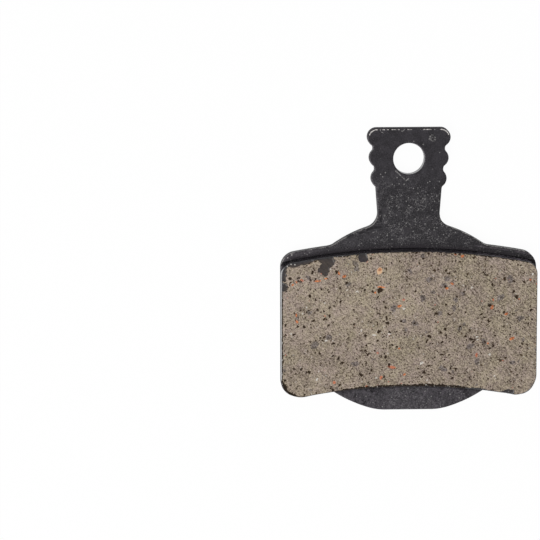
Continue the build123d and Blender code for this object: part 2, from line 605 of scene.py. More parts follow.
def value_noise(x, y, cell, seed):
    """Noise from 0 to 1: a random number at each corner of a square lattice, eased between corners."""
    lattice = np.random.default_rng(seed).random((NOISE_SIZE, NOISE_SIZE))
    column, row = np.floor(x / cell).astype(int), np.floor(y / cell).astype(int)
    across, up = x / cell - column, y / cell - row
    across, up = (part * part * (3 - 2 * part) for part in (across, up))

    def corner(right, above):
        return lattice[(column + right) % NOISE_SIZE, (row + above) % NOISE_SIZE]

    lower = corner(0, 0) * (1 - across) + corner(1, 0) * across
    upper = corner(0, 1) * (1 - across) + corner(1, 1) * across
    return lower * (1 - up) + upper * up


def ease(value):
    """0 below 0, 1 above 1, and a smooth rise between."""
    value = np.clip(value, 0, 1)
    return value * value * (3 - 2 * value)


print("noise repeats after", NOISE_SIZE, "cells")

# %% [markdown]
# ## Backing plate
# A punch leaves a soft, rolled edge on one side of a plate and a sharp one on the other. The rolled side
# is the pad's back. Here one edge profile has both, and is carried round the outline. The coat is worn to
# bright steel along the sharp edge at the head of the tab, and elsewhere a faint painted highlight runs
# along that edge.

# %% Plate edges and faces
HOLE_RADIUS = 2.075 * MM
KEY_RADIUS = 2.65 * MM
KEY_COLUMNS = (-9.7 * MM, 0.0, 9.7 * MM)
BLOCK_TOP = -11.96 * MM
BLOCK_TOP_RADIUS = 82.0 * MM
UPPER_KEY_INSET = 3.95 * MM
LOWER_KEY_INSET = 4.15 * MM
DIE_ROLL = 0.35 * MM
RIM_ROLL = 0.10 * MM
SHARP_INSETS = np.array((0.36, 0.28, 0.21, 0.13, 0.05, 0.015, 0.0)) * MM
SHARP_DROPS = np.array((0.0, 0.0, 0.0, 0.0, 0.006, 0.025, 0.06)) * MM
HEAD_WEAR = np.array((0.0, 0.5, 1.0, 0.3, 0.0, 0.0, 0.0))
# The faint painted highlight along the sharp edge, one value for each row of its profile
EDGE_GLINT = np.array((0.0, 0.0, 0.1, 0.25, 0.7, 1.0, 0.6))
WALL_ROWS = 5
ROLL_ROWS = 8
FACE_STEP = 0.34 * MM
FACE_WAVE = 0.008 * MM
FACE_WAVE_CELL = 1.6 * MM
WALL_ROUGHNESS = 0.03 * MM
WALL_CELL = 0.3 * MM
DASH_CELL = 0.45 * MM
FINE_CELL = 0.16 * MM
HEAD_FADE = 0.6 * MM
HEAD_CORNER = 3.9 * MM
CORNER_FADE = 0.4 * MM
BELOW_TAB_FADE = 6 * MM


def edge_profile(roll):
    """Insets and heights from the sharp front edge, down the wall, to the end of the back's roll."""
    angles = np.linspace(0, pi / 2, ROLL_ROWS)
    wall_top = PLATE_THICKNESS - SHARP_DROPS[-1]
    wall = np.linspace(wall_top, roll, WALL_ROWS + 2)[1:-1]
    insets = np.concatenate((SHARP_INSETS, np.zeros(WALL_ROWS), roll * (1 - np.cos(angles))))
    heights = np.concatenate((PLATE_THICKNESS - SHARP_DROPS, wall, roll * (1 - np.sin(angles))))
    return insets, heights


def key_places():
    """The middles of the key holes: two rows that follow the block's arcs, in three columns."""
    rows = (
        (BLOCK_TOP - UPPER_KEY_INSET, BLOCK_TOP_RADIUS - UPPER_KEY_INSET),
        (EAR_BOTTOM + LOWER_KEY_INSET, EAR_BOTTOM_RADIUS + LOWER_KEY_INSET),
    )
    return [(x, crown - radius + sqrt(radius**2 - x**2)) for crown, radius in rows for x in KEY_COLUMNS]


def edge_wear_and_glint(loop, rows):
    """How bare the sharp edge is: broken dashes just inside it along the head of the tab, and elsewhere a
    faint painted highlight on the edge itself, stronger where it faces the head."""
    travelled = np.arange(len(loop)) * OUTLINE_STEP
    dashes = value_noise(travelled, 0 * travelled, DASH_CELL, 11)
    fine = value_noise(travelled, 0 * travelled, FINE_CELL, 12)
    on_head = ease((loop[:, 1] - TOP_KNUCKLE) / HEAD_FADE)
    on_corner = ease((np.abs(loop[:, 0]) - HEAD_CORNER) / CORNER_FADE)
    broken = (0.35 + 0.5 * fine) * ease((0.35 * dashes + 0.65 * fine - 0.46) * 6)
    dashed = on_head * np.maximum(broken, on_corner)
    faces_head = ease(facing(loop)[:, 1] * 3) * ease(-loop[:, 1] / BELOW_TAB_FADE)
    # A faint painted highlight on the edge, stronger where it faces the head
    faint_glint = (0.2 + 0.4 * faces_head) * ease((dashes - 0.5 + 0.35 * faces_head) * 3)
    wear = np.zeros((rows, len(loop)))
    wear[: len(EDGE_GLINT)] = np.maximum(HEAD_WEAR[:, None] * dashed, EDGE_GLINT[:, None] * faint_glint)
    return wear


def plate_shell():
    """Walls round the outline and the holes, and the two faces filled between them."""
    shell = Shell()
    insets, heights = edge_profile(DIE_ROLL)
    hole_insets, hole_heights = edge_profile(RIM_ROLL)
    circles = [((0.0, 0.0), HOLE_RADIUS)] + [(place, KEY_RADIUS) for place in key_places()]
    hole_loops = [ring(place, radius, OUTLINE_STEP, clockwise=True) for place, radius in circles]
    walls = [carry(plate_loop, insets, heights)]
    walls += [carry(loop, hole_insets, hole_heights) for loop in hole_loops]
    wall_zone = slice(len(SHARP_INSETS), len(SHARP_INSETS) + WALL_ROWS)
    for number, wall in enumerate(walls):
        rows, count = wall.shape[:2]
        travelled = np.arange(count) * OUTLINE_STEP
        rough = value_noise(travelled, wall[wall_zone, :, 2], WALL_CELL, 20 + number)
        wall[wall_zone, :, :2] -= facing(wall[0, :, :2])[None] * (rough * WALL_ROUGHNESS)[..., None]
        wear = edge_wear_and_glint(plate_loop, rows) if number == 0 else np.zeros((rows, count))
        shell.add(wall, ring_faces(rows, count), wear=wear)
    for row, flip in ((0, False), (-1, True)):
        outer, *holes = (wall[row, :, :2] for wall in walls)
        points, triangles = fill(outer, holes, FACE_STEP)
        border = sum(len(loop) for loop in (outer, *holes))
        wave = value_noise(*points.T, FACE_WAVE_CELL, 31) * FACE_WAVE
        wave[:border] = 0
        height = walls[0][row, 0, 2] + (wave if flip else -wave)
        raised = np.concatenate((points, np.broadcast_to(height, len(points))[:, None]), axis=1)
        shell.add(raised, triangles[:, ::-1] if flip else triangles)
    return shell


plate = plate_shell()
print("plate shell", plate.count, "points before joining")

# %% [markdown]
# ## Friction block
# The block is moulded, painted with the plate, and ground flat, so black paint is left wherever the moulded
# skin lay below the grinding plane. The surface is worked out the same way: a moulded skin with soft edges
# and a few dips, cut by a plane, with pits where grains have fallen out.

# %% Block outline and grid
BLOCK_FOOT = PLATE_THICKNESS
BLOCK_HEIGHT = block_high.z - BLOCK_FOOT
BLOCK_BOTTOM = -30.15 * MM
BLOCK_BOTTOM_RADIUS = 75.15 * MM
BLOCK_TOP_CORNER = 1.8 * MM
BLOCK_BOTTOM_CORNER = 2.8 * MM
BLOCK_DRAFT = radians(1.2)
BLOCK_SHOULDER = 0.06 * MM
CRUMBLED_CORNER = (-16.4, -30.8)
CORNER_REACH = 2.0
CORNER_PUSH = 0.24 * MM
GRID_STEP = 0.098
BORDER_STEPS = (0.025, 0.03, 0.035, 0.045, 0.06, 0.08)


def block_outline():
    """The block's foot on the plate: two arcs, one above the other, between straight sides."""
    side = (block_high.x - block_low.x) / 2
    edges = [
        disc(0, BLOCK_BOTTOM - BLOCK_BOTTOM_RADIUS, BLOCK_BOTTOM_RADIUS, material_inside=False),
        straight(side, 0, 0),
        disc(0, BLOCK_TOP - BLOCK_TOP_RADIUS, BLOCK_TOP_RADIUS),
    ]
    corners = [
        (BLOCK_BOTTOM_CORNER, False, (side, BLOCK_BOTTOM)),
        (BLOCK_TOP_CORNER, False, (side, BLOCK_TOP)),
    ]
    start, end = np.array((0, BLOCK_BOTTOM)), np.array((0, BLOCK_TOP))
    return even_loop(half_outline(edges, corners, start, end), FINE_STEP)


def shares(length):
    """Shares from 0 to 1 of a length in mm: even steps, with finer ones near both ends."""
    border = np.cumsum(BORDER_STEPS) / length
    steps = round(length * (1 - 2 * border[-1]) / GRID_STEP)
    even = np.linspace(border[-1], 1 - border[-1], steps + 1)
    return np.concatenate(([0], border[:-1], even, 1 - border[-2::-1], [1]))


def side_between(loop, first, last, shares_along):
    """Points along a loop, from one of its points forward to another, at these shares of the way."""
    length = (last - first) % len(loop)
    places = first + length * shares_along
    whole = np.floor(places).astype(int)
    part = (places - whole)[:, None]
    return loop[whole % len(loop)] * (1 - part) + loop[(whole + 1) % len(loop)] * part


def patch(loop, across, up):
    """A grid of points inside a loop with four corners, at these shares across and up. Each point mixes
    the opposite sides and takes away what the mix of the four corners counts twice, which is a Coons
    patch."""
    lower_right = np.argmax(loop[:, 0] - loop[:, 1])
    upper_right = np.argmax(loop[:, 0] + loop[:, 1])
    upper_left = np.argmax(loop[:, 1] - loop[:, 0])
    lower_left = np.argmin(loop[:, 0] + loop[:, 1])
    bottom = side_between(loop, lower_left, lower_right, across)[None]
    right = side_between(loop, lower_right, upper_right, up)[:, None]
    top = side_between(loop, upper_right, upper_left, across)[None, ::-1]
    left = side_between(loop, upper_left, lower_left, up)[::-1, None]
    u, v = across[None, :, None], up[:, None, None]
    sides = (1 - v) * bottom + v * top + (1 - u) * left + u * right
    low = (1 - u) * bottom[:, :1] + u * bottom[:, -1:]
    high = (1 - u) * top[:, :1] + u * top[:, -1:]
    return sides - (1 - v) * low - v * high


foot_loop = block_outline()
corner_gap = np.hypot(*(foot_loop / MM - CRUMBLED_CORNER).T) / CORNER_REACH
foot_loop = foot_loop + facing(foot_loop) * (CORNER_PUSH * np.exp(-(corner_gap**2)))[:, None]
foot_loop[:, 0] = np.maximum(foot_loop[:, 0], block_low.x)
face_inset = BLOCK_HEIGHT * tan(BLOCK_DRAFT) + BLOCK_SHOULDER
face_width, face_height = (np.ptp(foot_loop, axis=0) - 2 * face_inset) / MM
shares_across, shares_up = shares(face_width), shares(face_height)
face_grid = patch(foot_loop - facing(foot_loop) * face_inset, shares_across, shares_up)
print("face grid", face_grid.shape[:2], "over", round(face_width, 2), "by", round(face_height, 2), "mm")

# %% [markdown]
# ### Grains, pits and paint
# The compound is a mix: mineral chips, copper fibres, pale grains and holes where grains fell out. The few
# that catch the eye have their own places, in millimetres, and beside every second fibre the grinding has
# torn out a hollow. The rest are scattered by a seeded draw.

# %% Placed grains
# Each row: middle x and y, length, width, and turn in degrees
COAT_REMAINS = {
    "leaf": (-11.15, -13.95, 2.5, 1.45, 62),
    "leaf_root": (-10.95, -12.95, 2.1, 1.3, 4),
    "square": (-6.24, -12.75, 1.3, 1.35, 2),
    "corner_strip": (-14.6, -13.42, 3.6, 0.85, 10),
    "upper_left_edge": (-16.75, -14.8, 2.4, 0.9, 90),
    "lower_left_edge": (-16.7, -16.7, 1.3, 1.1, 90),
    "foot_patch": (13.4, -31.05, 1.5, 0.8, -10),
}
MINERAL_CHIPS = (
    (-7.1, -14.3, 1.1, 0.9, -30), (-8.2, -16.3, 0.9, 0.7, 20), (-13.3, -20.0, 1.0, 0.8, -40),
    (-2.2, -19.6, 0.8, 1.1, 10), (-13.5, -15.4, 0.9, 0.6, -45), (-0.8, -21.3, 0.9, 0.6, 0),
    (2.6, -15.8, 0.9, 0.6, 30), (1.7, -18.4, 0.7, 1.3, -10), (3.1, -17.5, 0.8, 0.6, -20),
    (7.1, -17.7, 0.6, 0.9, 0), (6.1, -18.6, 0.8, 0.7, 0), (13.3, -15.9, 1.1, 1.3, 10),
    (12.0, -18.3, 1.3, 0.9, 30), (14.7, -21.1, 1.4, 0.9, 10), (6.6, -22.4, 0.9, 0.7, 0),
    (5.9, -19.7, 0.7, 0.8, 0), (-10.7, -23.4, 1.1, 0.8, 0), (-12.6, -24.5, 1.6, 0.9, 30),
    (-7.2, -27.0, 1.3, 0.7, 0), (4.4, -27.8, 1.3, 0.9, -30), (9.9, -24.1, 0.8, 1.0, 20),
    (9.0, -26.9, 0.8, 0.9, 0), (13.6, -27.0, 0.9, 0.6, 0), (8.0, -24.8, 1.5, 0.9, 20),
)
COPPER_FIBRES = (
    (-9.4, -14.9, 0.35, 0.65, 20), (-8.7, -15.3, 0.75, 0.4, 10), (-12.2, -15.9, 1.25, 0.28, 4),
    (-11.1, -15.6, 0.5, 0.22, 10), (-14.4, -15.7, 0.4, 0.25, 30), (-15.0, -16.0, 0.45, 0.25, -40),
    (-15.5, -16.4, 0.45, 0.25, 40), (-3.8, -16.8, 1.4, 0.24, -2), (-4.6, -17.5, 0.5, 0.3, -40),
    (-1.4, -19.3, 0.75, 0.45, 10), (-15.0, -20.4, 0.3, 0.55, 0), (-14.9, -21.3, 0.4, 0.5, 30),
    (6.9, -12.75, 0.6, 0.4, 20), (6.0, -12.5, 0.4, 0.3, 0), (4.9, -17.0, 0.5, 0.4, 20),
    (5.6, -16.4, 0.6, 0.3, -15), (10.9, -19.6, 0.5, 0.75, -30), (11.05, -18.6, 0.25, 0.4, 0),
    (12.8, -20.5, 0.6, 0.35, 20), (16.0, -15.9, 0.45, 0.3, 10), (14.5, -18.5, 0.4, 0.25, 0),
    (-10.0, -29.5, 0.55, 0.5, -30), (-2.4, -27.5, 1.35, 0.42, -12), (-3.8, -28.9, 0.4, 0.6, -20),
    (-1.4, -25.0, 0.35, 0.3, 0), (13.6, -23.8, 0.9, 0.45, 20), (10.4, -24.4, 0.35, 0.35, 0),
    (8.9, -26.0, 0.28, 0.75, 0), (12.4, -26.8, 0.45, 0.22, 0), (-0.7, -28.5, 0.45, 0.35, 40),
    (-5.65, -30.12, 0.5, 0.3, 0),
)
PALE_GRAINS = (
    (-7.0, -17.4, 0.45, 0.25, 0), (-10.4, -14.3, 0.3, 0.25, 0), (3.0, -15.4, 0.4, 0.22, 0),
    (16.2, -15.1, 0.35, 0.3, 0), (-11.1, -23.8, 0.3, 0.25, 0), (-12.3, -29.0, 0.35, 0.3, 0),
    (-4.8, -23.2, 0.55, 0.3, 20), (-2.7, -23.0, 0.3, 0.3, 0), (-4.5, -29.0, 0.4, 0.3, 0),
    (1.7, -27.0, 0.6, 0.25, 5), (9.0, -23.5, 0.5, 0.25, 0), (11.4, -28.8, 0.35, 0.3, 0),
    (-5.2, -30.12, 0.3, 0.24, 0), (-6.0, -30.14, 0.24, 0.2, 0), (-7.9, -30.2, 0.3, 0.2, 0),
)
CREAM_GRAIN = ((-4.02, -14.6, 0.72, 1.05, -20),)
CREAM_HEART_PLACE = ((-3.97, -14.42, 0.6, 0.6, 0),)
LARGE_PITS = (
    (-13.3, -17.9, 0.5, 0.5, 0), (-3.9, -17.3, 0.9, 0.7, 40), (-8.4, -16.1, 0.5, 0.4, 0),
    (-12.2, -19.7, 0.3, 0.45, 0), (-10.6, -19.5, 0.35, 0.4, 40), (-10.7, -21.8, 0.4, 0.4, 0),
    (-12.8, -21.2, 0.4, 0.4, 20), (-11.3, -21.0, 0.35, 0.5, 0), (-4.1, -20.3, 0.5, 0.3, 0),
    (-2.9, -21.6, 0.6, 0.4, 0), (-4.1, -22.7, 0.6, 0.45, 30), (-5.8, -23.2, 0.5, 0.35, 0),
    (-5.8, -25.3, 0.6, 0.4, 0), (-8.9, -26.9, 0.5, 0.45, 30), (-6.5, -28.4, 0.6, 0.5, 20),
    (-10.1, -24.3, 0.5, 0.35, 0), (2.6, -23.5, 0.5, 0.45, 0), (8.2, -23.8, 0.8, 0.4, -10),
    (11.1, -24.7, 0.4, 0.4, 0), (4.3, -25.9, 0.7, 0.35, 10), (9.5, -20.5, 0.6, 0.4, 40),
    (5.1, -20.5, 0.5, 0.3, 20), (5.1, -15.0, 0.5, 0.3, -10), (11.0, -16.5, 0.5, 0.3, 0),
    (10.9, -12.9, 0.36, 0.3, 10), (12.3, -12.9, 0.4, 0.32, -10), (13.0, -12.95, 0.34, 0.3, 0),
    (13.4, -13.1, 0.38, 0.36, 0), (15.55, -13.6, 0.3, 0.26, 0), (14.4, -14.0, 0.34, 0.28, 60),
    (14.8, -14.0, 0.3, 0.28, 0), (10.85, -14.2, 0.4, 0.36, -60), (15.1, -15.0, 0.5, 0.24, 55),
    (10.1, -15.2, 0.3, 0.28, 0), (8.5, -13.5, 0.28, 0.26, 0), (1.5, -12.75, 0.28, 0.24, 0),
    (1.9, -12.9, 0.3, 0.26, 40), (1.3, -13.6, 0.36, 0.26, -40), (1.65, -13.9, 0.34, 0.3, 0),
    (2.8, -13.9, 0.46, 0.26, -50), (3.75, -14.5, 0.28, 0.26, 0), (6.65, -13.45, 0.5, 0.26, 35),
    (7.65, -15.0, 0.36, 0.26, 40), (0.85, -12.15, 0.4, 0.3, 0),
)
print(len(MINERAL_CHIPS), "chips,", len(COPPER_FIBRES), "fibres and", len(LARGE_PITS), "pits are placed")

# %% Drawn grains
# Each row: how many are drawn, the shortest and the longest, how slim they get, and the seed
DRAWN_PITS = (780, 0.15, 0.46, 0.5, 51)
DRAWN_CHIPS = (60, 0.4, 1.2, 0.5, 52)
DRAWN_FIBRES = (60, 0.2, 0.6, 0.6, 53)
DRAWN_PALE = (90, 0.16, 0.4, 0.5, 54)
BESIDE_FIBRE = (-0.30, 0.20)
LONGEST_HOLLOW = 0.42
WARP = 0.16
WARP_CELL = 0.28
FIBRE_WARP = 0.35
# Pits are shallower beyond these places, at the lower right and along the upper right edge
DENSE_CORNER = (6, -24)
DENSE_CORNER_FADE = (4, 3)
DENSE_EDGE = (-3, -16.5)
DENSE_EDGE_FADE = (3, 1.5)
GRAIN_CHUNK = 30


def scatter(count, shortest, longest, slimness, seed):
    """Rows like those above, at random places and turns. Small grains are the most common."""
    draw = np.random.default_rng(seed)
    low, high = face_grid.min(axis=(0, 1)) / MM, face_grid.max(axis=(0, 1)) / MM
    place = low + (high - low) * draw.random((count, 2))
    length = shortest + (longest - shortest) * draw.random(count) ** 3
    width = length * (1 - slimness * draw.random(count))
    return np.column_stack((place, length, width, 180 * draw.random(count)))


def cover(x, y, rows, softness, power=2):
    """How deep each place lies in a grain: 0 at its rim, rising to 1 over the softness. A grain is a
    turned ellipse, and a place is 1 - along² - across² deep in it, in half lengths and half widths. A
    power above 2 squares the ellipse off."""
    rows = np.asarray(rows, float)
    depth = np.full(x.shape, -1.0)
    for group in np.array_split(rows, ceil(len(rows) / GRAIN_CHUNK)):
        middle_x, middle_y, length, width, turn = group.T[:, :, None]
        right, above = x - middle_x, y - middle_y
        turn = np.radians(turn)
        along = (right * np.cos(turn) + above * np.sin(turn)) * 2 / length
        across = (above * np.cos(turn) - right * np.sin(turn)) * 2 / width
        depth = np.maximum(depth, (1 - np.abs(along) ** power - np.abs(across) ** power).max(axis=0))
    return ease(depth / softness)


def cover_both(x, y, placed, softness, drawn, drawn_softness, drawn_share=1.0):
    """How deep each place lies in the placed grains or, times a share, in the drawn ones."""
    at_random = drawn_share * cover(x, y, scatter(*drawn), drawn_softness)
    return np.maximum(cover(x, y, placed, softness), at_random)


face_x, face_y = (face_grid[..., side].ravel() / MM for side in (0, 1))
warp_x, warp_y = (WARP * (value_noise(face_x, face_y, WARP_CELL, seed) - 0.5) * 2 for seed in (41, 42))
bend_x, bend_y = face_x + warp_x, face_y + warp_y
fibre_x, fibre_y = face_x + FIBRE_WARP * warp_x, face_y + FIBRE_WARP * warp_y
torn_out = np.array(COPPER_FIBRES[::2])
torn_out[:, :2] += BESIDE_FIBRE
torn_out[:, 2:4] = np.minimum(torn_out[:, 2:4], LONGEST_HOLLOW)
pits = cover_both(bend_x, bend_y, np.concatenate((LARGE_PITS, torn_out)), 0.5, DRAWN_PITS, 0.6)
chips = cover_both(bend_x, bend_y, MINERAL_CHIPS, 0.7, DRAWN_CHIPS, 0.9, 0.7)
copper = cover_both(fibre_x, fibre_y, COPPER_FIBRES, 0.6, DRAWN_FIBRES, 0.8, 0.6)
pale = cover_both(bend_x, bend_y, PALE_GRAINS, 0.6, DRAWN_PALE, 0.8, 0.7)
cream = cover(fibre_x, fibre_y, CREAM_GRAIN, 0.6)
heart = cover(fibre_x, fibre_y, CREAM_HEART_PLACE, 0.9)
dense_corner = ease((face_x - DENSE_CORNER[0]) / DENSE_CORNER_FADE[0])
dense_corner *= ease((DENSE_CORNER[1] - face_y) / DENSE_CORNER_FADE[1])
dense_edge = ease((face_x - DENSE_EDGE[0]) / DENSE_EDGE_FADE[0])
dense_edge *= ease((face_y - DENSE_EDGE[1]) / DENSE_EDGE_FADE[1])
pits *= 1 - 0.5 * dense_corner - 0.3 * dense_edge
print("pits cover", round(100 * float((pits > 0.5).mean()), 1), "% of the face")

# %% [markdown]
# ### The ground face
# The moulded skin stands a little proud of the grinding plane and is cut by it. Where the skin lies
# lower, in a few low spots and where its rounded edge escaped the grinding, the paint stays. Elsewhere
# the edge has crumbled to a thin dark line.

# %% Ground face
SKIN = 0.10
LOW_SPOT = 0.22
SQUARED = 6
RIM_SLOPE = 0.6
PIT_DEPTH = 0.09
# Each pair: a place along the side, and the rim's mean width there
TOP_RIM = (
    (-17.0, 0.28), (-13.4, 0.30), (-12.5, 0.08), (-6.0, 0.05), (8.0, 0.02), (15.0, 0.05), (17.0, 0.16),
)
FOOT_RIM = (
    (7.4, 0.0), (8.2, 0.20), (9.7, 0.20), (10.6, 0.11), (12.0, 0.11), (12.4, 0.30), (13.5, 0.36),
    (13.9, 0.04),
)
FOOT_CRUMBLE = (
    (-15.0, 0.10), (-13.5, 0.03), (-10.0, 0.04), (-8.5, 0.22), (0.0, 0.27), (7.0, 0.36), (9.0, 0.05),
)
TOP_CRUMBLE = ((-9.0, 0.16), (-5.0, 0.12), (6.0, 0.12), (9.0, 0.16), (15.5, 0.14))
LEFT_CRUMBLE = 0.09
CORNER_CRUMBLE = 0.24
RIGHT_CRUMBLE = 0.03
GROOVE_DEPTH = 0.012
GROOVE_TURN = radians(-40)
GROOVE_PITCH = 0.28
GROOVE_LENGTH = 5.0
SCRATCH = ((-14.06, -28.63, 2.6, 0.16, -36),)
SCRATCH_DEPTH = 0.04
RAGGED_CELLS = (0.5, 0.16)
SKIN_EDGE = 0.02
RIM_EDGE = 0.04
INNER_EDGE = 0.5


def side_gaps():
    """How far each point of the grid lies from the face's foot, right, top and left borders, in mm."""
    up, across = np.meshgrid(shares_up, shares_across, indexing="ij")
    gaps = (up * face_height, (1 - across) * face_width, (1 - up) * face_height, across * face_width)
    return [gap.ravel() for gap in gaps]


def corner_depth():
    """How far the grid's points near the crumbled corner lie from the border, in mm. The grid is skewed
    there, so each is measured to the nearest point of the border itself."""
    points = face_grid.reshape(-1, 2) / MM
    border = np.concatenate((face_grid[0], face_grid[:, 0])) / MM
    points_near, border_near = (
        np.hypot(*(places - CRUMBLED_CORNER).T) < 2 * CORNER_REACH for places in (points, border)
    )
    across, up = (points[points_near, None] - border[None, border_near]).transpose(2, 0, 1)
    depth = np.full(len(points), CORNER_REACH)
    depth[points_near] = np.hypot(across, up).min(axis=1)
    return depth


def rim_width(pairs, place):
    """A rim's width at each place along a side, drawn straight between the pairs."""
    places, widths = zip(*pairs)
    return np.interp(place, places, widths)


def ground_face():
    """Heights of the face in mm under the grinding plane, and how much of each rim and mark there is."""
    foot, right, top, left = side_gaps()
    coarse, fine = (value_noise(face_x, face_y, cell, 61 + i) for i, cell in enumerate(RAGGED_CELLS))
    ragged = 0.1 + 1.8 * (coarse * 0.5 + fine * 0.5)
    top_rim = rim_width(TOP_RIM, face_x) * ragged - top
    foot_rim = rim_width(FOOT_RIM, face_x) * ragged - foot
    rim = np.maximum(top_rim, foot_rim)
    corner_gap = np.hypot(face_x - CRUMBLED_CORNER[0], face_y - CRUMBLED_CORNER[1]) / CORNER_REACH
    crumbs = (
        CORNER_CRUMBLE * ease(2 - 2 * corner_gap) * ragged - corner_depth(),
        rim_width(FOOT_CRUMBLE, face_x) * ragged - foot,
        LEFT_CRUMBLE * ragged - left,
        rim_width(TOP_CRUMBLE, face_x) * ragged**2 - top,
        RIGHT_CRUMBLE * ragged - right,
    )
    low_spots = LOW_SPOT * cover(bend_x, bend_y, list(COAT_REMAINS.values()), 0.5, SQUARED)
    skin = SKIN - low_spots
    paint = np.maximum(ease(0.5 - skin / SKIN_EDGE), ease(0.5 + rim / RIM_EDGE))
    crumble = ease(0.5 + np.max(crumbs, axis=0) / RIM_EDGE) * (1 - paint)
    inner = ease(np.minimum.reduce((foot, right, top, left)) / INNER_EDGE)
    along = face_x * cos(GROOVE_TURN) + face_y * sin(GROOVE_TURN)
    across = face_y * cos(GROOVE_TURN) - face_x * sin(GROOVE_TURN)
    grooves = value_noise(along / GROOVE_LENGTH * GROOVE_PITCH, across, GROOVE_PITCH, 63)
    scratch = cover(face_x, face_y, SCRATCH, 0.8)
    holes = np.maximum(pits, crumble)
    cut = GROOVE_DEPTH * grooves + SCRATCH_DEPTH * scratch + PIT_DEPTH * holes
    depth = np.maximum(np.maximum(-skin, RIM_SLOPE * rim), 0) + (1 - paint) * cut
    return depth, dict(paint=paint, scratch=scratch, inner=inner, pits=holes, crumble=crumble)


face_depth, face_marks = ground_face()
print("deepest place", round(float(face_depth.max()), 3), "mm under the grinding plane")

# %% Block walls
WALL_SHARE = np.array((0.03, 0.08, 0.16, 0.28, 0.42, 0.58, 0.72, 0.86, 0.95, 1.0))
SHOULDER_SHARE = 0.06
BLOCK_WALL_ROUGHNESS = 0.006 * MM
BLOCK_WALL_CELL = 0.22
CHIPPED_CELLS = (0.5, 0.15)
GRIT_GLINT_CELL = 0.18
GRIT_GLINT_START = 6.5
GRIT_GLINT_FADE = 4


def add_walls(shell, rim, rim_marks):
    """Adds the walls from the face's rim down to the plate, and returns the loop they end on. They round
    a shoulder, lean out by the draft, and carry paint that is chipped and crumbled in places, with a pale
    speckle of grit and painted glints where they face the tab."""
    outward = facing(rim[:, :2])
    share = WALL_SHARE[:, None]
    travelled = np.cumsum(np.hypot(*(rim[:, :2] - np.roll(rim[:, :2], 1, axis=0)).T))[None]
    height = rim[:, 2] + (BLOCK_FOOT - rim[:, 2]) * share

    def wall_noise(cell, seed):
        return value_noise(travelled / MM, height / MM, cell, seed)

    shoulder = BLOCK_SHOULDER * np.sqrt(1 - (1 - np.clip(share / SHOULDER_SHARE, 0, 1)) ** 2)
    drafted = (face_inset - BLOCK_SHOULDER) * share
    rough = wall_noise(BLOCK_WALL_CELL, 64) * BLOCK_WALL_ROUGHNESS
    out = shoulder + drafted - rough * np.sin(pi * share)
    wall = np.concatenate((rim[None, :, :2] + outward * out[..., None], height[..., None]), axis=2)
    wall = np.concatenate((rim[None], wall))

    chipped = wall_noise(CHIPPED_CELLS[0], 65) * 0.6 + wall_noise(CHIPPED_CELLS[1], 66) * 0.4
    bare = ease((chipped - 0.66 - 0.12 * share) * 12) * (outward[:, 1] < 0.5)
    corner_gap = np.hypot(*(rim[:, :2] / MM - CRUMBLED_CORNER).T) / CORNER_REACH
    crumbled = rim_marks["crumble"] * ease((0.16 - share) / 0.1)
    crumbled = np.maximum(crumbled, ease(2 * (1 - corner_gap)) * ease((0.95 - share) / 0.2))
    # A pale speckle where the walls face the tab, right of the middle: partly grit, partly painted glints
    grit_and_glint_mask = ease(outward[:, 1] * 2 - 0.2) * ease((rim[:, 0] / MM - GRIT_GLINT_START) / GRIT_GLINT_FADE)
    grit_and_glint_mask = grit_and_glint_mask * ease((wall_noise(GRIT_GLINT_CELL, 67) - 0.45) * 4)
    below = dict(paint=(1 - bare) * (1 - crumbled), pits=crumbled, crumble=crumbled)
    marks = {name: np.concatenate((rim_marks[name][None], below[name])) for name in below}
    grit = np.concatenate((0 * grit_and_glint_mask[:1], grit_and_glint_mask))
    shell.add(wall, ring_faces(len(wall), len(rim)), grit=grit, **marks)
    return wall[-1, :, :2]


print("walls have", len(WALL_SHARE) + 1, "rows of points")

# %% Plugs
PLUG_RADIUS = KEY_RADIUS - 0.02 * MM
PLUG_PIT_DEPTH = 0.10 * MM
PLUG_PIT_CELL = 0.32 * MM
PLUG_GRAIN_CELLS = (0.5 * MM, 0.2 * MM)
PLUG_RIM_FADE = 0.7 * MM
PLUG_STEP = 0.12 * MM
# Each triple: the left, middle and right column
PLUG_RECESSES = (0.30 * MM, 0.15 * MM, 0.05 * MM)
PLUG_CHAMFERS = (0.20 * MM, 0.12 * MM, 0.05 * MM)
PLUG_RELIEF = (0.12 * MM, 0.07 * MM, 0.03 * MM)
PLUG_GRAIN = (1.0, 0.45, 0.25)
PLUG_PITTING = (0.5, 1.0, 0.35)


def plug_end(points, place, number):
    """The grain of a plug's end, coarse noise plus fine, and its pits, which crowd towards its rim."""
    coarse = value_noise(*points.T, PLUG_GRAIN_CELLS[0], 70 + number)
    fine = value_noise(*points.T, PLUG_GRAIN_CELLS[1], 80)
    from_rim = PLUG_RADIUS - np.hypot(*(points - place).T)
    crowd = 0.30 * ease(1 - from_rim / PLUG_RIM_FADE)
    holes = ease((value_noise(*points.T, PLUG_PIT_CELL, 90 + number) + crowd - 0.82) * 8)
    return 0.6 * coarse + 0.4 * fine, PLUG_PITTING[number % len(KEY_COLUMNS)] * holes


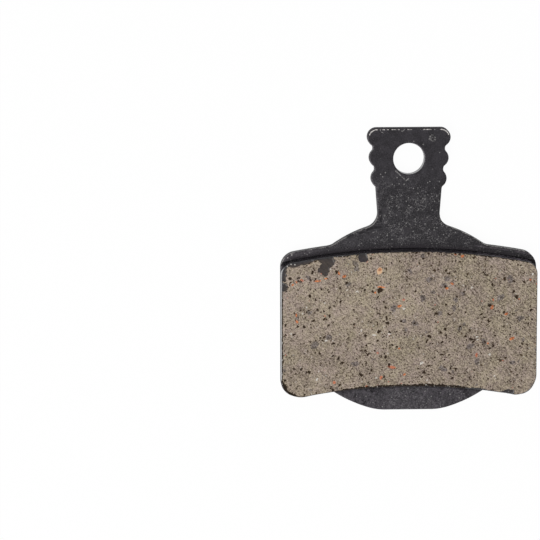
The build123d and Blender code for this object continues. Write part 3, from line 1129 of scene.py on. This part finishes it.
def add_plugs(shell, outer):
    """Adds the block's foot between the plugs, and for each key hole a plug's sleeve and its end."""
    plug_loops = [ring(place, PLUG_RADIUS, 2 * PLUG_STEP) for place in key_places()]
    foot, foot_faces = fill(outer, [loop[::-1] for loop in plug_loops])
    foot = np.column_stack((foot, np.full(len(foot), BLOCK_FOOT)))
    shell.add(foot, foot_faces[:, ::-1], paint=1.0)
    for number, (place, loop) in enumerate(zip(key_places(), plug_loops)):
        column = number % len(KEY_COLUMNS)
        recess, chamfer = PLUG_RECESSES[column], PLUG_CHAMFERS[column]
        insets = (0.0, 0.0, chamfer / 2, chamfer)
        heights = (BLOCK_FOOT, recess + chamfer, recess + chamfer / 3, recess)
        sleeve = carry(loop, insets, heights)
        shell.add(sleeve, ring_faces(len(sleeve), len(loop)), paint=1.0)
        end, end_faces = fill(sleeve[-1, :, :2], (), PLUG_STEP)
        grain, pitted = plug_end(end, place, number)
        grain[: len(loop)] = 0
        pitted[: len(loop)] = 0
        depth = recess + PLUG_RELIEF[column] * grain + PLUG_PIT_DEPTH * pitted
        sunk = np.maximum(PLUG_GRAIN[column] * ease((grain - 0.45) * 5), pitted)
        shell.add(np.column_stack((end, depth)), end_faces[:, ::-1], paint=1.0, sunk=sunk)


def block_shell():
    """The face, the walls down to the plate, the foot between the plugs, and the plugs themselves."""
    shell = Shell()
    top = np.column_stack((face_grid.reshape(-1, 2), block_high.z - face_depth * MM))
    index = np.arange(len(top)).reshape(face_grid.shape[:2])
    quads = np.stack((index[:-1, :-1], index[:-1, 1:], index[1:, 1:], index[1:, :-1]), axis=-1)
    grains = dict(chips=chips, copper=copper, pale=pale, cream=cream, heart=heart)
    shell.add(top, quads.reshape(-1, 4), **face_marks, **grains)
    border = np.concatenate((index[0], index[1:, -1], index[-1, -2::-1], index[-2:0:-1, 0]))
    rim_marks = {name: mark[border] for name, mark in face_marks.items()}
    add_plugs(shell, add_walls(shell, top[border], rim_marks))
    return shell


block = block_shell()
print("block shell", block.count, "points before joining")

# %% [markdown]
# ## Finishes
# The plate has a satin black coat with tiny bare specks. The compound is taupe, with darker pits and
# brighter grains whose places the mesh already carries, so the nodes only add the finest grain and mix
# the colours.

# %% Marks on the coat
COAT_BLACK = srgb(3, 3, 4)
COAT_GREY = srgb(48, 46, 50)
# Each scuff: where it starts and ends on the plate, and its width
SCUFFS = (
    ((-1.80, -1.55), (-0.37, -2.91), 0.20),
    ((-0.37, -2.91), (0.02, -2.57), 0.20),
    ((-3.96, 3.86), (-3.42, 3.41), 0.14),
    ((-0.91, 3.62), (-0.56, 3.92), 0.12),
)
# The dark score that the die has pressed beside the left root of the neck, in the same form
DIE_SCORE = (
    ((-3.78, -6.9), (-3.70, -8.4), 0.70),
    ((-3.62, -9.06), (-4.65, -9.08), 0.62),
    ((-4.65, -9.08), (-5.65, -9.42), 0.56),
    ((-5.65, -9.60), (-6.65, -9.88), 0.42),
)
RING_SCUFF = (3.09, 2.70)
RING_RADIUS = 0.40
RING_WIDTH = 0.14
EAR_DUST = ((-16.17, -12.71), (-15.51, -12.71), (-16.05, -13.09))
DUST_RADIUS = 0.10


def coat_colour(place, level, contrast):
    """The coat's mottled black round a level, and its fine relief."""
    mottle = place.noise(0.9, 3.0, 0.6)
    grain = place.noise(5.5, 2.0, 0.65)
    tone = level + (mottle - 0.5) * 1.2 + (grain - 0.5) * contrast
    return tone.step(0.0, 1.0).between(COAT_BLACK, COAT_GREY), grain


def specks(place, scale, radius, crowd):
    """Round specks of one size: one to a cell of scattered points, where a draw and the crowd allow."""
    cells = {"Vector": place.bent(0.05, 3.0), "Scale": scale}
    away = place.make("ShaderNodeTexVoronoi", None, cells)
    draw = place.make("ShaderNodeTexVoronoi", None, cells, "Color").dot(X_AXIS)
    size = draw.step(0.0, 1.0) * radius * scale
    return (away - size).step(0.12, -0.12) * (draw + crowd).step(0.97, 1.0)


def stroke(place, start, end, width):
    """A straight scuff: 1 along the line between two places, 0 past its ends and half a width away."""
    length = sqrt((end[0] - start[0]) ** 2 + (end[1] - start[1]) ** 2)
    right, up = (end[0] - start[0]) / length, (end[1] - start[1]) / length
    along = place.dot((right, up, 0)) - (start[0] * right + start[1] * up)
    across = place.dot((-up, right, 0)) - (start[1] * right - start[0] * up)
    near = (across * across).step(width**2 / 4, 0.0)
    return near * along.step(-0.1, 0.1) * along.step(length + 0.1, length - 0.1)


def distance_squared(place, spot):
    """How far each place lies from a spot on the plate, across and up, squared."""
    right, up = place.dot(X_AXIS) - spot[0], place.dot(Y_AXIS) - spot[1]
    return right * right + up * up


def dust(place, spots):
    """1 on small round crumbs at these places, else 0."""
    crooked = place.bent(0.05, 4.0)
    marks = [distance_squared(crooked, spot).step(DUST_RADIUS**2, DUST_RADIUS**2 / 3) for spot in spots]
    return reduce(Wire.larger, marks)


def scuffs(place):
    """1 along the straight scuffs and on the smudged ring that a tool has left on the tab, else 0."""
    crooked = place.bent(0.08, 2.5)
    away = distance_squared(place.bent(0.3, 2.0), RING_SCUFF)
    inside, outside = RING_RADIUS - RING_WIDTH, RING_RADIUS + RING_WIDTH
    round_ring = away.step(inside**2, RING_RADIUS**2) * away.step(outside**2, RING_RADIUS**2)
    smudge = away.step(outside**2, 0.0) * place.noise(6.0, 2.0).step(0.5, 0.62)
    smudged_ring = (round_ring * 0.9).larger(smudge * 0.7) * place.noise(3.2).step(0.38, 0.54)
    strokes = [stroke(crooked, start, end, width) for start, end, width in SCUFFS]
    return reduce(Wire.larger, strokes, smudged_ring) * place.noise(4.5).step(0.36, 0.56)


def beyond_arc(place, crown, radius):
    """How far each place lies outside an arc whose crown is on the centre line, in mm: its distance from
    the arc's centre, less the radius."""
    away = distance_squared(place, (0, (crown - radius) / MM))
    return place.math("SQRT", away, 0.0) - radius / MM


print(len(SCUFFS), "scuffs,", len(DIE_SCORE), "strokes of the score and", len(EAR_DUST), "crumbs of dust")

# %% Black coat
# Greys of the coat: haze and painted sheen, bare specks, dust, and bare steel, which also paints a faint
# highlight along the edge
HAZE_AND_SHEEN_GREY = srgb(78, 72, 78)
SPECK_GREY = srgb(172, 170, 167)
DUST_WHITE = srgb(214, 211, 205)
BARE_STEEL_AND_GLINT = srgb(196, 192, 188)
COAT_ROUGHNESS = 0.22
COAT_SHINE = 0.28
COAT_TINT = (0.98, 0.92, 1.0, 1.0)
WALL_MATTNESS = 0.28
HEAD_MATTNESS = 0.30
# Zones of the coat: where each begins and where it is full, in mm along the axis in its name
FRONT_Z = (1.70, 1.78)
BACK_Z = (0.3, 0.05)
WALL_TOP_Z = (1.76, 1.6)
WALL_FOOT_Z = (0.0, 0.3)
HEAD_Y = (2.6, 3.4)
BELOW_HOLE_Y = (-1.0, -6.0)
UPPER_HALF_Y = (-22.0, -12.0)
LOW_DOWN_Y = (-26.0, -29.0)
LEFT_EAR_X = (-9.0, -13.0)
LEFT_EAR_Y = (-16.0, -14.0)
RIGHT_EAR_X = (7.5, 9.5)
PLAIN_LEFT_X = (-2.5, -7.0)
PLAIN_RIGHT_X = (5.5, 8.5)
# Lines that follow an arc: a painted highlight on the right ear's edge, painted light beside the seam over
# the block, and painted shade under and over the block. For each, where each side begins and is full, in
# mm beyond the arc
EAR_LINE = ((-0.44, -0.28), (-0.08, -0.2))
SEAM_LIGHT = ((0.6, 0.25), (0.03, 0.12))
FOOT_SHADE = ((-0.8, -0.25), (0.6, 0.3))
TOP_SHADE = ((0.09, 0.03), (-0.6, -0.3))
# Squared distances, from the hole's middle and from the centre line
HOLE_RIM_SQUARED = (2.4**2, 2.2**2)
SEAM_LIGHT_ENDS_SQUARED = (225.0, 180.0)


def along_arc(beyond, sides):
    """1 on a line that follows an arc, from the distance beyond the arc and the line's two sides."""
    first, second = sides
    return beyond.step(*first) * beyond.step(*second)


def coat_haze_and_painted_light(place, right, up_the_plate, low_down):
    """How grey the coat is: a painted sheen on the left ear, lighter mottled patches low down that are partly
    painted sheen, a painted highlight along the right ear's upper edge, and painted light beside the seam
    over the block that offsets the shade there."""
    over_block = beyond_arc(place, BLOCK_TOP, BLOCK_TOP_RADIUS)
    seam_light = along_arc(over_block, SEAM_LIGHT) * (right * right).step(*SEAM_LIGHT_ENDS_SQUARED)
    on_left_ear = right.step(*LEFT_EAR_X) * up_the_plate.step(*LEFT_EAR_Y)
    light_patches = place.noise(4.2, 3.0, 0.7).step(0.46, 0.70)
    over_ear = beyond_arc(place, EAR_TOP, EAR_TOP_RADIUS)
    ear_edge_highlight = along_arc(over_ear, EAR_LINE) * right.step(*RIGHT_EAR_X)
    haze_and_sheen = on_left_ear * 0.34 + low_down * light_patches * 0.75
    haze_and_sheen = haze_and_sheen.larger(ear_edge_highlight * place.noise(1.4, 2.0).step(0.38, 0.56) * 0.7)
    return haze_and_sheen.larger(seam_light * 0.45)


def bare_specks(place, right, handled, low_down):
    """How bare the coat is: flecks, hairlines and round specks where it was handled, and the scuffs."""
    patches = place.noise(0.9, 2.0).step(0.40, 0.62) * 0.8 + 0.2
    flecks = place.bent(0.12, 3.0).noise(5.5, 2.0, 0.7).step(0.55, 0.66) * patches
    wander = place.noise(2.4, 2.0) - 0.5
    hairs = (wander * wander).step(0.0012, 0.0) * place.noise(4.5).step(0.46, 0.62) * patches
    plain = right.step(*PLAIN_LEFT_X) * 0.6 + right.step(*PLAIN_RIGHT_X) * 0.2
    flecked = handled * (1 - plain)
    bright = specks(place, 3.2, 0.08, flecked * (1 - low_down * 0.7) * 0.22 + 0.01)
    speck = ((flecks * 0.27).larger(hairs * 0.45) * flecked).larger(bright * 0.5)
    return speck.larger(scuffs(place) * 0.55)


def painted_seam_shade_and_score(place):
    """How dark the coat is: painted shade in the seams over and under the block, and the score beside the
    neck.
    """
    shaded_top = along_arc(beyond_arc(place, BLOCK_TOP, BLOCK_TOP_RADIUS), TOP_SHADE)
    shaded_foot = along_arc(beyond_arc(place, BLOCK_BOTTOM, BLOCK_BOTTOM_RADIUS), FOOT_SHADE)
    crooked = place.bent(0.18, 1.6)
    score = reduce(Wire.larger, (stroke(crooked, *part) for part in DIE_SCORE))
    score = score * place.noise(2.6, 2.0).step(0.32, 0.50)
    return shaded_top.larger(shaded_foot * 0.75).larger(score)


def coat_material():
    """Satin black, hazed and specked on the front, with painted sheen, highlights and shade there, and bare
    steel and a faint painted highlight where the mesh carries them.
    """
    material, shader, place = new_material("black_coat")
    place.feed(shader.inputs["Specular IOR Level"], COAT_SHINE)
    place.feed(shader.inputs["Specular Tint"], COAT_TINT)
    right, up_the_plate, height = (place.dot(axis) for axis in (X_AXIS, Y_AXIS, Z_AXIS))
    front, back = height.step(*FRONT_Z), height.step(*BACK_Z)
    low_down = up_the_plate.step(*LOW_DOWN_Y)
    handled = up_the_plate.step(*BELOW_HOLE_Y) * (up_the_plate.step(*UPPER_HALF_Y) * 0.4 + 0.6)
    handled = handled * (1 - back)
    contrast = handled * 0.8 + low_down * 1.2 + back * 1.2 + 1.0
    colour, grain = coat_colour(place, 0.45 - handled * 0.25, contrast)
    # Haze with painted sheen, a painted highlight on the right ear's edge, and painted light beside the seam
    colour = (coat_haze_and_painted_light(place, right, up_the_plate, low_down) * front).between(colour, HAZE_AND_SHEEN_GREY)
    speck = bare_specks(place, right, handled, low_down) * front
    colour = speck.between(colour, SPECK_GREY)
    # Painted shade in the seams over and under the block, and the dark score beside the neck
    seam_shade_and_score = painted_seam_shade_and_score(place) * front
    colour = seam_shade_and_score.between(colour, COAT_BLACK)
    colour = (dust(place, EAR_DUST) * front * 0.8).between(colour, DUST_WHITE)
    # Bare steel at the head of the tab, and a faint painted highlight along the rest of the edge
    wear = place.attribute("wear")
    wear = (wear + (place.noise(6.0, 2.0) - 0.5) * 2.0 * wear).step(0.2, 0.95)
    place.feed(shader.inputs["Base Color"], wear.between(colour, BARE_STEEL_AND_GLINT))
    place.feed(shader.inputs["Metallic"], wear * 0.7)

    in_hole = distance_squared(place, (0, 0)).step(*HOLE_RIM_SQUARED)
    on_wall = height.step(*WALL_TOP_Z) * height.step(*WALL_FOOT_Z) * (1 - in_hole)
    blotches = place.noise(0.7, 3.0, 0.6).step(0.5, 0.7) * (handled * 0.3 + low_down * 0.2)
    pocks = place.noise(3.0, 3.0, 0.7).step(0.50, 0.68) * low_down
    roughness = COAT_ROUGHNESS + (grain - 0.5) * 0.2 + blotches + pocks * 0.6
    roughness = roughness + low_down * 0.1 + seam_shade_and_score * 0.5
    roughness = roughness + on_wall * (up_the_plate.step(*HEAD_Y) * HEAD_MATTNESS + WALL_MATTNESS)
    place.feed(shader.inputs["Roughness"], roughness)
    bump = {"Strength": 0.4, "Distance": 0.02 * MM, "Height": grain * (1 - on_wall * 0.6) + speck * 0.6}
    place.feed(shader.inputs["Normal"], place.make("ShaderNodeBump", None, bump))
    return material


plate_piece = plate.build("backing_plate_dressed", coat_material(), "plate_coat")
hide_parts("backing_plate")

# %% [markdown]
# ### Friction compound
# Ground compound is dull, so its tone is all in its colour: crumbs of two greys, streaks along the
# grinding, and a slow drift between a warmer and a cooler taupe. The paint that is left lies over it as a
# clear gloss with black under it, which keeps the compound itself dull.

# %% Compound colours
TAUPE_DARK = srgb(75, 66, 56)
TAUPE_LIGHT = srgb(192, 178, 162)
WARM_TINT = (0.99, 1.0, 0.89, 1.0)
COOL_TINT = (0.98, 0.93, 1.0, 1.0)
CHIP_DARK = srgb(50, 45, 46)
CHIP_LIGHT = srgb(138, 130, 130)
COPPER_DARK = srgb(140, 78, 54)
COPPER_LIGHT = srgb(228, 140, 78)
ROSE = srgb(184, 114, 102)
PALE_WHITE = srgb(232, 229, 222)
CREAM = srgb(216, 180, 144)
CREAM_HEART = srgb(176, 124, 92)
# Pits are painted brown to black, standing for the shade in their hollows; the brown also marks the scratch
PIT_BROWN = srgb(66, 50, 33)
PIT_BLACK = srgb(28, 20, 13)
# Zones of the compound: where each begins and where it is full, in mm along an axis or a slant
FOOT_Y = (-22.0, -27.0)
UPPER_Y = (-28.0, -20.0)
LEFT_SLANT = (1, 0.7, 0)
LEFT_OF_SLANT = (-7.0, -15.0)
RIGHT_SLANT = (1, 0.4, 0)
RIGHT_OF_SLANT = (-8.0, 10.0)


def ground(place, stretch_along, stretch_across):
    """Places drawn out along the grinding direction."""
    along = place.dot((cos(GROOVE_TURN), sin(GROOVE_TURN), 0)) * stretch_along
    across = place.dot((-sin(GROOVE_TURN), cos(GROOVE_TURN), 0)) * stretch_across
    sides = {"X": along, "Y": across, "Z": place.dot(Z_AXIS) * stretch_across}
    return place.make("ShaderNodeCombineXYZ", None, sides)


def bare_compound(place, crumb, grain, streaks, to_right):
    """The taupe of the ground compound, and the tone from dark to light that it is mixed by."""
    mottle = place.noise(0.35, 3.0, 0.55)
    tone = 0.49 + (crumb - 0.5) * 0.5 + (grain - 0.5) * 0.9 + (mottle - 0.5) * 0.3
    tone = tone + (streaks - 0.5) * (to_right * 0.6 + 0.05)
    upper_left = place.dot(Y_AXIS).step(*UPPER_Y) * place.dot(LEFT_SLANT).step(*LEFT_OF_SLANT)
    tone = tone + upper_left * 0.06
    colour = tone.step(0.0, 1.0).between(TAUPE_DARK, TAUPE_LIGHT)
    slow, middling, quick = (place.noise(scale, 2.0).step(0.35, 0.65) for scale in (0.22, 0.9, 3.4))
    drift = slow * 0.35 + middling * 0.3 + quick * 0.35
    return colour.tinted(drift.between(WARM_TINT, COOL_TINT)), tone


def with_grains(place, colour, tone, crumb, ragged):
    """The colour with the chips, the copper fibres, the pale grains and the long scratch laid over it."""
    chips = (place.attribute("chips") + ragged).step(0.22, 0.65)
    chip_tone = (place.noise(3.6, 2.0, 0.6) - 0.5) * 1.6 + crumb * 0.5
    stone = chip_tone.step(-0.1, 0.8).between(CHIP_DARK, CHIP_LIGHT)
    colour = (chips * 0.7).between(colour, stone)
    copper = (place.attribute("copper") + ragged).step(0.3, 0.6)
    metal = tone.step(0.2, 0.8).between(COPPER_DARK, COPPER_LIGHT)
    thin_fibre = place.attribute("copper").step(0.75, 0.6)
    near_foot = place.dot(Y_AXIS).step(*FOOT_Y) * place.noise(0.45, 0.0).step(0.45, 0.55)
    metal = (thin_fibre * 0.8).larger(near_foot * 0.45).between(metal, ROSE)
    colour = (copper * 0.9).between(colour, metal)
    pale = (place.attribute("pale") + ragged).step(0.35, 0.65)
    pale = (pale * 0.62).larger(specks(place, 2.7, 0.07, 0.10) * 0.45)
    colour = pale.between(colour, PALE_WHITE)
    return (place.attribute("scratch") * 0.5).between(colour, PIT_BROWN)


def with_pits(place, colour, ragged):
    """The colour with pits, painted dark as the shade in their hollows, the cream grain, and painted glints
    in the crumbled rim; and how pitted it is.
    """
    hollow, crumble = place.attribute("pits"), place.attribute("crumble")
    pits = (hollow + ragged * 0.8).step(0.30, 0.45)
    pits = pits.larger(specks(place, 2.3, 0.11, 0.30)).larger(specks(place, 3.6, 0.08, 0.32))
    # Patches where pits are painted black, as deeper shade, rather than brown
    pit_shade_patches = (place.noise(1.6, 2.0) + ragged * 0.4).step(0.38, 0.62)
    deep = (hollow.step(0.5, 1.0) * 0.8).larger(pit_shade_patches * 0.7).larger(crumble)
    colour = (pits * 0.95).between(colour, deep.between(PIT_BROWN, PIT_BLACK))
    cream = (place.attribute("cream") + ragged * 0.15).step(0.12, 0.35)
    heart = (place.attribute("heart") + ragged * 0.3).step(0.2, 0.8)
    colour = cream.between(colour, heart.between(CREAM, CREAM_HEART))
    glints = crumble * specks(place, 4.5, 0.07, 0.2)
    return (glints * 0.8).between(colour, PALE_WHITE), pits


print("grinding runs at", round(GROOVE_TURN * 180 / pi), "degrees")

# %% Compound under paint
LEAF_BROWN = srgb(86, 77, 70)
PAINT_TINT = (1.0, 0.88, 1.0)
PLUG_BLACK = srgb(15, 13, 12)
PLUG_FLECK = srgb(124, 108, 82)
# A pale grey for grit on the walls and for the painted glints there
GRIT_AND_GLINT_GREY = srgb(124, 115, 126)
COMPOUND_ROUGHNESS = 0.72
COMPOUND_SHINE = 0.04
PAINT_GLOSS = 0.8
PAINT_ROUGHNESS = 0.13
PLUG_GLOSS = 0.35
BLOCK_DUST = ((-15.7, -13.65), (-16.2, -13.9), (-15.2, -13.7))
FACE_Z = (3.75, 3.9)
UPPER_WALL_Z = (2.2, 2.8)
ABOVE_PLATE_Z = (1.6, 1.9)
LEAF_X = (-8.5, -9.5)


def compound_material():
    """Dull ground compound with its grains and pits, under what is left of the glossy black paint."""
    material, shader, place = new_material("friction_compound")
    place.feed(shader.inputs["Specular IOR Level"], COMPOUND_SHINE)
    place.feed(shader.inputs["Coat Roughness"], PAINT_ROUGHNESS)
    height = place.dot(Z_AXIS)
    grain = place.noise(9.0, 2.0, 0.65)
    cells = {"Vector": ground(place, 7.0, 9.5), "Scale": 1.0}
    crumb = place.make("ShaderNodeTexVoronoi", None, cells, "Color").dot(X_AXIS)
    streaks = ground(place, 0.6, 5.0).noise(1.0, 1.0)
    to_right = place.dot(RIGHT_SLANT).step(*RIGHT_OF_SLANT)
    ragged = (place.noise(9.5, 2.0, 0.6) - 0.5) * 1.2
    colour, tone = bare_compound(place, crumb, grain, streaks, to_right)
    colour = with_grains(place, colour, tone, crumb, ragged)
    colour, pits = with_pits(place, colour, ragged)

    black, coat_grain = coat_colour(place, 0.42, 1.2)
    black = black.tinted(PAINT_TINT)
    paint = (place.attribute("paint") + ragged * 0.8).step(0.35, 0.65)
    on_top = height.step(*FACE_Z)
    streaky = (ground(place, 0.8, 4.0).noise(1.0, 3.0) + ragged * 0.3).step(0.30, 0.75)
    on_leaf = place.dot(X_AXIS).step(*LEAF_X)
    dusty = (streaky * 0.5 + 0.25) * (on_leaf * 0.6 + 0.4) + (grain - 0.5) * 0.9
    dusty = dusty.larger(0.0) * place.attribute("inner")
    colour = paint.between(colour, dusty.between(black, LEAF_BROWN))
    crumbs = dust(place, BLOCK_DUST) * height.step(*UPPER_WALL_Z) * 0.8
    colour = crumbs.between(colour, DUST_WHITE)
    grit, sunk = place.attribute("grit"), place.attribute("sunk")
    # Pale grit on the walls that face the tab, partly painted glints
    colour = (grit * 0.45).between(colour, GRIT_AND_GLINT_GREY)
    colour = (sunk * 0.8).between(colour, PLUG_BLACK)
    colour = (sunk * specks(place, 5.2, 0.08, 0.35) * 0.6).between(colour, PLUG_FLECK)
    place.feed(shader.inputs["Base Color"], colour)

    cleanness = (1 - dusty) * (1 - crumbs) * (1 - grit * 0.7) * (1 - sunk * 0.9)
    gloss = paint * cleanness * (height.step(*ABOVE_PLATE_Z) * (PAINT_GLOSS - PLUG_GLOSS) + PLUG_GLOSS)
    gloss = gloss * (1 - place.attribute("inner") * on_top * 0.3)
    place.feed(shader.inputs["Coat Weight"], gloss)
    place.feed(shader.inputs["Roughness"], COMPOUND_ROUGHNESS + (grain - 0.5) * 0.2)
    relief = grain * 0.6 + crumb * 0.6 + streaks * to_right * 0.4 - pits * 0.8
    relief = relief * (1 - paint) + coat_grain * paint * on_top * 0.3
    bump = {"Strength": 0.5, "Distance": 0.03 * MM, "Height": relief}
    place.feed(shader.inputs["Normal"], place.make("ShaderNodeBump", None, bump))
    return material


block_piece = block.build("friction_block_dressed", compound_material(), "friction_compound")
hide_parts("friction_block")
